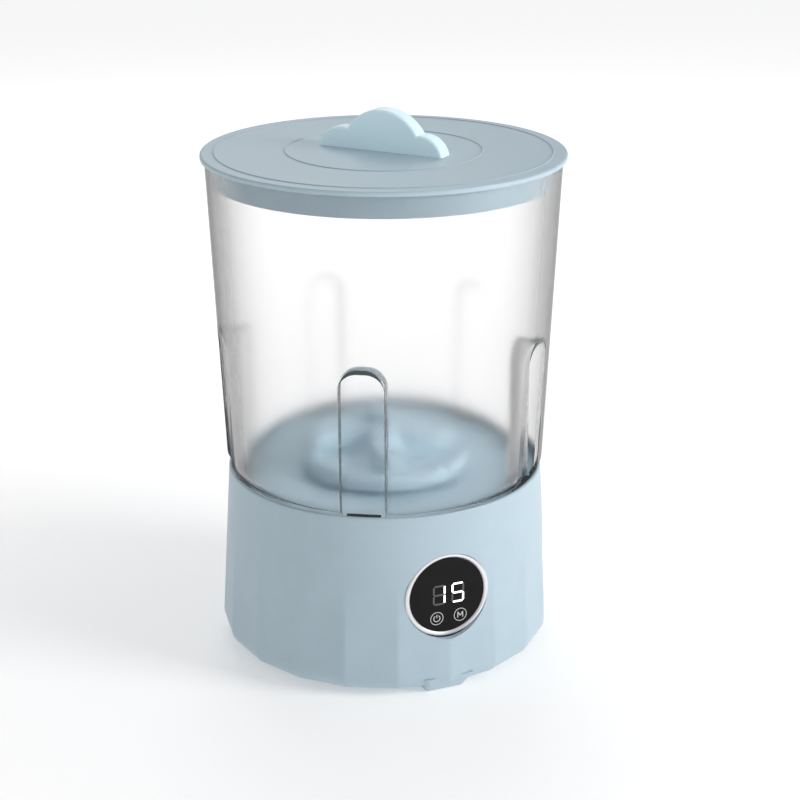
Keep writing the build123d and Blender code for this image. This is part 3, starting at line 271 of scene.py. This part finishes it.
def new_piece(name, mesh_maker, material, body):
    """Makes a mesh piece, gives it a finish and lets it ride on a body."""
    form = bmesh.new()
    mesh_maker(form)
    bmesh.ops.recalc_face_normals(form, faces=form.faces)
    mesh = bpy.data.meshes.new(name)
    form.to_mesh(mesh)
    form.free()
    mesh.materials.append(material)
    piece = bpy.data.objects.new(name, mesh)
    bpy.context.scene.collection.objects.link(piece)
    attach(piece, body)
    return piece


def join_rings(form, rings):
    """Faces between closed rings of vertices, each to the next."""
    for low, high in zip(rings, rings[1:]):
        for k in range(len(low)):
            after = (k + 1) % len(low)
            form.faces.new((low[k], low[after], high[after], high[k]))


def add_plate(form, outline):
    """A thin closed plate on the lens, from an outline of (across, up) points."""
    front = [form.verts.new(display_point(*point) + Vector((0, -PRINT_THICKNESS, 0))) for point in outline]
    back = [form.verts.new(display_point(*point) + Vector((0, PRINT_LIFT, 0))) for point in outline]
    form.faces.new(front)
    form.faces.new(list(reversed(back)))
    for k in range(len(outline)):
        after = (k + 1) % len(outline)
        form.faces.new((front[after], front[k], back[k], back[after]))


def add_band(form, middle, radius, line, start=0.0, sweep=2 * pi, steps=64):
    """A flat arc or ring of a given line width."""
    near, far = radius - line / 2, radius + line / 2
    for k in range(steps):
        a, b = start + sweep * k / steps, start + sweep * (k + 1) / steps
        corners = [(near, a), (far, a), (far, b), (near, b)]
        add_plate(form, [(middle[0] + r * cos(t), middle[1] + r * sin(t)) for r, t in corners])


def add_bar(form, start, end, line):
    """A straight stroke between two points."""
    a, b = Vector(start), Vector(end)
    side = (b - a).normalized().orthogonal() * line / 2
    add_plate(form, [tuple(a + side), tuple(b + side), tuple(b - side), tuple(a - side)])


def segment_outlines(middle):
    """Outlines of the seven segments of one digit, by letter."""
    x, y = middle
    w, h, t = DIGIT_WIDTH / 2 - SEGMENT / 2, DIGIT_HEIGHT / 2 - SEGMENT / 2, SEGMENT / 2

    def bar(x0, y0, x1, y1):
        a, b = Vector((x0, y0)), Vector((x1, y1))
        along = (b - a).normalized()
        side = Vector((-along.y, along.x)) * t
        a, b = a + along * SEGMENT_GAP, b - along * SEGMENT_GAP
        tip = along * t * 0.8
        return [tuple(p) for p in (a, a + tip + side, b - tip + side, b, b - tip - side, a + tip - side)]

    corners = {
        "a": (x - w, y + h, x + w, y + h), "b": (x + w, y + h, x + w, y), "c": (x + w, y, x + w, y - h),
        "d": (x - w, y - h, x + w, y - h), "e": (x - w, y, x - w, y - h), "f": (x - w, y + h, x - w, y),
        "g": (x - w, y, x + w, y),
    }
    return {letter: bar(*ends) for letter, ends in corners.items()}


def make_segments(lit):
    """The segments of both digits that are lit, or those that aren't."""
    def build(form):
        for side, letters in LIT.items():
            middle = (DIGIT_MID[0] + side * DIGIT_PITCH / 2, DIGIT_MID[1])
            for letter, outline in segment_outlines(middle).items():
                if (letter in letters) == lit:
                    add_plate(form, outline)
    return build


def make_power_key(form):
    """A ring round a power symbol: an open arc with an upright stroke."""
    x, y = KEY_SHIFT - KEY_X, -KEY_DROP
    add_band(form, (x, y), KEY_R, KEY_LINE)
    add_band(form, (x, y), KEY_R * 0.5, KEY_LINE * 1.3, radians(125), radians(290))
    add_bar(form, (x, y + KEY_R * 0.08), (x, y + KEY_R * 0.62), KEY_LINE * 1.3)


def make_mode_key(form):
    """A ring round a letter M."""
    x, y = KEY_SHIFT + KEY_X, -KEY_DROP
    add_band(form, (x, y), KEY_R, KEY_LINE)
    w, h = KEY_R * 0.4, KEY_R * 0.46
    strokes = [((x - w, y - h), (x - w, y + h)), ((x - w, y + h), (x, y - h * 0.35)),
               ((x, y - h * 0.35), (x + w, y + h)), ((x + w, y + h), (x + w, y - h))]
    for start, end in strokes:
        add_bar(form, start, end, KEY_LINE * 1.35)


lit_white = glowing("lit_white", (1.0, 1.0, 1.0), 1.6)
# Painted glow on the key print and on the unlit segments; only the lit segments are the display's own light.
key_print_painted_glow = glowing("key_print_painted_glow", (0.5, 0.5, 0.5), 0.3)
unlit_segments_painted_glow = glowing("unlit_segments_painted_glow", (0.06, 0.06, 0.06), 0.5)
new_piece("lit_segments", make_segments(True), lit_white, "base")
new_piece("dark_segments", make_segments(False), unlit_segments_painted_glow, "base")
new_piece("power_key_print", make_power_key, key_print_painted_glow, "base")
new_piece("mode_key_print", make_mode_key, key_print_painted_glow, "base")


# ---------------------------------------------------------------- tub wall
def flute_places(point):
    """For each flute: how far a point is across it, and how far out."""
    flat = Vector((point.x, point.y))
    for k in range(FLUTES):
        turn = radians(FLUTE_PHASE + k * 360 / FLUTES)
        out = Vector((sin(turn), -cos(turn)))
        side = Vector((cos(turn), sin(turn)))
        yield out, side, side.dot(flat), out.dot(flat)


def from_outline(across, z):
    """Distance from a flute's outline, and the direction away from it as (across, up)."""
    half, corner = FLUTE_WIDTH / 2, FLUTE_CORNER
    sign = 1 if across > 0 else -1
    over_x, over_z = abs(across) - (half - corner), z - (FLUTE_TOP_Z - corner)
    if over_z <= 0:
        return abs(across) - half, (sign, 0)
    if over_x <= 0:
        return z - FLUTE_TOP_Z, (0, 1)
    reach = Vector((over_x, over_z)).length
    return reach - corner, (sign * over_x / reach, over_z / reach)


def thin_flutes(mesh):
    """Moves the inner side of each flute's wall close to its outer side."""
    shift, floor_back = TUB_WALL - FLUTE_SKIN, FLUTE_FLOOR_R - TUB_WALL
    side_slack, floor_slack, lowest = 0.25 * MM, 0.1 * MM, FLUTE_LOW_Z + 1 * MM
    for vertex in mesh.vertices:
        for out, side, across, depth in flute_places(vertex.co):
            away, (sideways, up) = from_outline(across, vertex.co.z)
            if depth < floor_back - floor_slack or vertex.co.z < lowest:
                continue
            if abs(away - TUB_WALL) < side_slack:
                move = side * (-sideways * shift)
                vertex.co += Vector((move.x, move.y, -up * shift))
            if depth < floor_back + floor_slack and away < TUB_WALL + side_slack:
                vertex.co += Vector((out.x, out.y, 0)) * shift


def tub_radius(z):
    """Outer radius of the tub's tapered wall."""
    return TUB_LOW_R + (TUB_TOP_R - TUB_LOW_R) * (z - TUB_LOW_Z) / (TUB_TOP_Z - TUB_LOW_Z)


def flute_point(k, across, depth, z):
    """A point given from the middle plane of a flute: across it, out from the axis, and up."""
    turn = radians(FLUTE_PHASE + k * 360 / FLUTES)
    return (across * cos(turn) + depth * sin(turn), across * sin(turn) - depth * cos(turn), z)


def make_flute_painted_shade(k):
    """Painted shade under a flute's ceiling: a thin dark crescent along its rounded top."""
    def build(form):
        corner, half = FLUTE_CORNER, FLUTE_WIDTH / 2
        outline = []
        for side in (-1, 1):
            for step in range(CRESCENT_STEPS + 1):
                a = CRESCENT_START + CRESCENT_SWEEP * (step if side < 0 else CRESCENT_STEPS - step) / CRESCENT_STEPS
                across, z = side * (half - corner + corner * cos(a)), FLUTE_TOP_Z - corner + corner * sin(a)
                outline.append((across, z))
        rings = []
        for across, z in outline:
            high = z + CRESCENT_EDGE + CRESCENT_HEIGHT * max(0.0, 1 - (across / half) ** 2) ** 0.5
            ring = []
            for level, sunk in ((z, CRESCENT_SINK), (z, -CRESCENT_PROUD), (high, -CRESCENT_PROUD), (high, CRESCENT_SINK)):
                depth = (tub_radius(level) ** 2 - across ** 2) ** 0.5 - sunk
                ring.append(form.verts.new(flute_point(k, across, depth, level)))
            rings.append(ring)
        join_rings(form, rings)
        form.faces.new(rings[0])
        form.faces.new(rings[-1])
    return build


def make_flute_slot_painted_shade(k):
    """Painted shade: a dark strip in the gap between the foot of a flute and the base's rim."""
    def build(form):
        half = SLOT_WIDTH / 2
        corners = [(-half, SLOT_NEAR_R), (half, SLOT_NEAR_R), (half, SLOT_FAR_R), (-half, SLOT_FAR_R)]
        rings = [[form.verts.new(flute_point(k, across, out, z)) for across, out in corners]
                 for z in (SLOT_LOW_Z, SLOT_HIGH_Z)]
        join_rings(form, rings)
        form.faces.new(rings[0])
        form.faces.new(rings[1])
    return build


def is_outside(point):
    """True for a point of the tub's outer side, and False for one of its inner side."""
    half = TUB_WALL / 2
    reach = Vector((point.x, point.y)).length
    if point.z < TUB_LOW_Z:
        share = max(0.0, (point.z - SEAM_Z) / (TUB_LOW_Z - SEAM_Z))
        middle = NECK_R + (TUB_LOW_R - NECK_R) * share ** 0.5 - half
    else:
        middle = tub_radius(point.z) - half
    for _, _, across, depth in flute_places(point):
        away, _ = from_outline(across, point.z)
        if away < half and depth > FLUTE_FLOOR_R - half and point.z > FLUTE_LOW_Z - half:
            return True
    return reach > middle


def make_tub_wall():
    """The tub in its two finishes: glossy outside, etched inside."""
    mesh = nodes["tub"].data.copy()
    mesh.name = "tub_wall"
    mesh.materials.clear()
    mesh.materials.append(materials["frosted_plastic"])
    # Tub wall inside: etched, with painted shade where it is slanted.
    mesh.materials.append(wall_finish_painted_edge_shade(
        "etched_inside_painted_edge_shade", rough=(0.41, 0.45), relief=0.05,
        greys=((0.5, 0.97), (0.97, 0.4)), edge=0.6, bend=1.12))
    for polygon in mesh.polygons:
        polygon.material_index = 0 if is_outside(polygon.center) else 1
    thin_flutes(mesh)
    piece = bpy.data.objects.new("tub_wall", mesh)
    bpy.context.scene.collection.objects.link(piece)
    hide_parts("tub")
    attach(piece, "base")


# ---------------------------------------------------------------- base housing
def envelope(z):
    """Radius of the base's round envelope."""
    return RIM_R + (SKIRT_R - RIM_R) * (SEAM_Z - z) / (SEAM_Z - SKIRT_Z)


def smooth_step(value):
    """0 below 0, 1 above 1, and an S-shaped rise between."""
    value = min(1.0, max(0.0, value))
    return value * value * (3 - 2 * value)


def flat_share(azimuth):
    """How near a flat comes to the axis at an azimuth, against its corners."""
    step = 2 * pi / FACETS
    offset = (azimuth + step / 2) % step - step / 2
    away = step / 2 - abs(offset)
    return cos(step / 2) / cos(away)


def base_radius(azimuth, z):
    """Outer radius of the base: round above, with flats below."""
    faceted = smooth_step((FADE_HIGH_Z - z) / (FADE_HIGH_Z - FADE_LOW_Z))
    return envelope(z) * (1 + faceted * (flat_share(azimuth) - 1))


def outer_profile():
    """Rows of (height, how far the row lies inside the wall's face), from the bottom edge to the rim."""
    rows = []
    for k in range(EDGE_STEPS + 1):
        a = pi / 2 * k / EDGE_STEPS
        rows.append((BASE_LOW_Z + EDGE_R * (1 - cos(a)), EDGE_R * (1 - sin(a))))
    low, high = BASE_LOW_Z + EDGE_R, SEAM_Z - RIM_EDGE_R
    rows += [(low + (high - low) * k / WALL_STEPS, 0.0) for k in range(1, WALL_STEPS + 1)]
    for k in range(1, RIM_STEPS + 1):
        a = pi / 2 * k / RIM_STEPS
        rows.append((high + RIM_EDGE_R * sin(a), RIM_EDGE_R * (1 - cos(a))))
    return rows


def inner_profile():
    """Round inner side, from the rim down to the opening for the bottom cover: (radius, height)."""
    return [
        (NECK_HOLE_R, RIM_INNER_Z), (NECK_HOLE_R, LEDGE_HIGH_Z), (LEDGE_R, LEDGE_HIGH_Z),
        (LEDGE_R, LEDGE_LOW_Z), (envelope(LEDGE_LOW_Z) - BASE_WALL, LEDGE_LOW_Z),
        (envelope(WAIST_Z) - BASE_WALL, WAIST_Z), *SKIRT_INSIDE, (COVER_HOLE_R, BASE_LOW_Z),
    ]


def column_azimuths():
    """Columns round the base, closer together at the creases."""
    step = 2 * pi / FACETS
    return [step * (facet + offset) for facet in range(FACETS) for offset in COLUMN_OFFSETS]


def polar(azimuth, radius, z):
    """A point at an azimuth that starts at the front, -Y."""
    return (radius * sin(azimuth), -radius * cos(azimuth), z)


def add_foot(form, azimuth):
    """A wedge-shaped foot with rounded corners, sunk into the base's edge."""
    corner, turn = FOOT_CORNER, radians(azimuth)
    rings = []
    for z, width, face in FOOT_LEVELS:
        ring = [(-width / 2, -FOOT_BACK)]
        for side in (-1, 1):
            for k in range(FOOT_CORNER_STEPS + 1):
                a = pi / 2 * k / FOOT_CORNER_STEPS
                a = a if side < 0 else pi / 2 - a
                x = side * (width / 2 - corner + corner * cos(a))
                ring.append((x, -(face - corner + corner * sin(a))))
        ring.append((width / 2, -FOOT_BACK))
        rings.append([
            form.verts.new(Vector((x * cos(turn) - y * sin(turn), x * sin(turn) + y * cos(turn), z)) * MM)
            for x, y in ring
        ])
    join_rings(form, rings)
    form.faces.new(rings[0])
    form.faces.new(rings[-1])


def make_base_form(form):
    """The housing as one closed skin: up its outer side and down its inner side."""
    azimuths = column_azimuths()
    rows = [
        [form.verts.new(polar(a, base_radius(a, z) - inset, z)) for a in azimuths]
        for z, inset in outer_profile()
    ]
    rows += [[form.verts.new(polar(a, radius, z)) for a in azimuths] for radius, z in inner_profile()]
    join_rings(form, rows + rows[:1])


def cut_round_hole(piece, name, y_from, y_to, z, radius):
    """Cuts a hole along Y, between two values of Y, with a boolean that is then applied."""
    form = bmesh.new()
    bmesh.ops.create_cone(
        form, cap_ends=True, segments=HOLE_SEGMENTS, radius1=radius, radius2=radius, depth=y_to - y_from)
    mesh = bpy.data.meshes.new(name)
    form.to_mesh(mesh)
    form.free()
    tool = bpy.data.objects.new(name, mesh)
    tool.location = (0, (y_from + y_to) / 2, z)
    tool.rotation_euler = (pi / 2, 0, 0)
    bpy.context.scene.collection.objects.link(tool)
    cut = piece.modifiers.new(name, "BOOLEAN")
    cut.object = tool
    cut.solver = "EXACT"
    bpy.context.view_layer.update()
    result = bpy.data.meshes.new_from_object(piece.evaluated_get(bpy.context.evaluated_depsgraph_get()))
    piece.modifiers.clear()
    piece.data = result
    bpy.data.objects.remove(tool)


def shade(piece, limit):
    """Smooth shading that stays sharp at edges steeper than the limit, in degrees."""
    piece.data.shade_smooth()
    piece.data.set_sharp_from_angle(angle=radians(limit))


def make_base_skin():
    """The housing's skin with the holes for the display and the inlet, and its feet."""
    skin = new_piece("base_skin", make_base_form, materials["blue_plastic"], "base")
    cut_round_hole(skin, "display_hole", -CUT_TO_Y, -CUT_FROM_Y, DISPLAY_MIDDLE.z, DISPLAY_HOLE_R)
    cut_round_hole(skin, "inlet_hole", CUT_FROM_Y, CUT_TO_Y, INLET_Z, INLET_HOLE_R)
    shade(skin, SKIN_CREASE)
    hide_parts("base_housing")
    for azimuth in FOOT_AZIMUTHS:
        foot = new_piece(f"foot_{azimuth}", lambda form, a=azimuth: add_foot(form, a),
                         materials["blue_plastic"], "base")
        shade(foot, FOOT_CREASE)


make_tub_wall()
make_base_skin()
# Painted shade: dark crescents above the flutes that face the camera's side.
crescent_painted_shade = surface("crescent_painted_shade", (0.035, 0.055, 0.06), spread=0.1, rough=(0.2, 0.3), grain=1500, relief=0.0)
# Painted shade: a dark strip, in the rubber finish, in the gap at each flute's foot.
for flute in range(FLUTES):
    if flute in CRESCENT_FLUTES:
        new_piece(f"flute_painted_shade_{flute}", make_flute_painted_shade(flute), crescent_painted_shade, "base")
    new_piece(f"flute_slot_painted_shade_{flute}", make_flute_slot_painted_shade(flute), materials["rubber"], "base")


# ---------------------------------------------------------------- floor, lights and camera
def make_floor():
    """A wide pale disc that glows more the farther it is from the part."""
    form = bmesh.new()
    bmesh.ops.create_circle(form, cap_ends=True, radius=FLOOR_R, segments=FLOOR_SEGMENTS)
    mesh = bpy.data.meshes.new("floor")
    form.to_mesh(mesh)
    form.free()
    pale = surface("floor_pale", (0.86, 0.85, 0.845), spread=0.005, rough=(0.8, 0.9), grain=800, relief=0.02,
                   shine=0.1)
    tree = pale.node_tree
    shader = tree.nodes["Principled BSDF"]
    shader.inputs["Emission Color"].default_value = FLOOR_TINT
    place = tree.nodes.new("ShaderNodeTexCoord")
    away = tree.nodes.new("ShaderNodeVectorMath")
    away.operation = "LENGTH"
    tree.links.new(place.outputs["Object"], away.inputs[0])
    remap(tree, away.outputs["Value"], shader.inputs["Emission Strength"], GLOW_REACH, FLOOR_GLOW)
    mesh.materials.append(pale)
    floor = bpy.data.objects.new("floor", mesh)
    bpy.context.scene.collection.objects.link(floor)


def add_softbox(name, place, power, size):
    """A round area light aimed at the middle of the part."""
    lamp = bpy.data.lights.new(name, "AREA")
    lamp.energy = power
    lamp.shape = "DISK"
    lamp.size = size
    box = bpy.data.objects.new(name, lamp)
    box.location = place
    box.rotation_euler = (Vector(LIGHT_AIM) - Vector(place)).to_track_quat("-Z", "Y").to_euler()
    bpy.context.scene.collection.objects.link(box)


def make_world():
    """Even, slightly cool light from all round."""
    world = bpy.data.worlds.new("studio")
    world.use_nodes = True
    back = world.node_tree.nodes["Background"]
    back.inputs["Color"].default_value = SKY_COLOR
    back.inputs["Strength"].default_value = SKY_STRENGTH
    bpy.context.scene.world = world


def camera_side(right, back, up):
    """Place given from the photographer's side: right, away from the photographer, and up."""
    x = right * cos(CAMERA_TURN) + back * sin(CAMERA_TURN)
    y = -right * sin(CAMERA_TURN) + back * cos(CAMERA_TURN)
    return (x, y, up)


def make_camera():
    """The camera, where the photographer stood."""
    data = bpy.data.cameras.new("camera")
    data.lens = LENS_MM
    data.sensor_width = SENSOR_MM
    data.clip_end = CLIP_END
    camera = bpy.data.objects.new("camera", data)
    camera.location = camera_side(0, -CAMERA_OUT, CAMERA_HEIGHT)
    turn = -(CAMERA_TURN + CAMERA_AIM_RIGHT)
    camera.rotation_euler = Euler((pi / 2 - CAMERA_ELEVATION, 0, turn))
    bpy.context.scene.collection.objects.link(camera)
    bpy.context.scene.camera = camera


make_floor()
make_world()
add_softbox("key_light", camera_side(1.8, -0.7, 0.9), 25, 0.9)
add_softbox("front_fill", camera_side(-0.3, -2.2, 0.8), 1, 0.9)
add_softbox("back_light", camera_side(-0.2, 1.4, 1.5), 8, 1.2)
make_camera()
bpy.context.scene.view_settings.view_transform = "Standard"
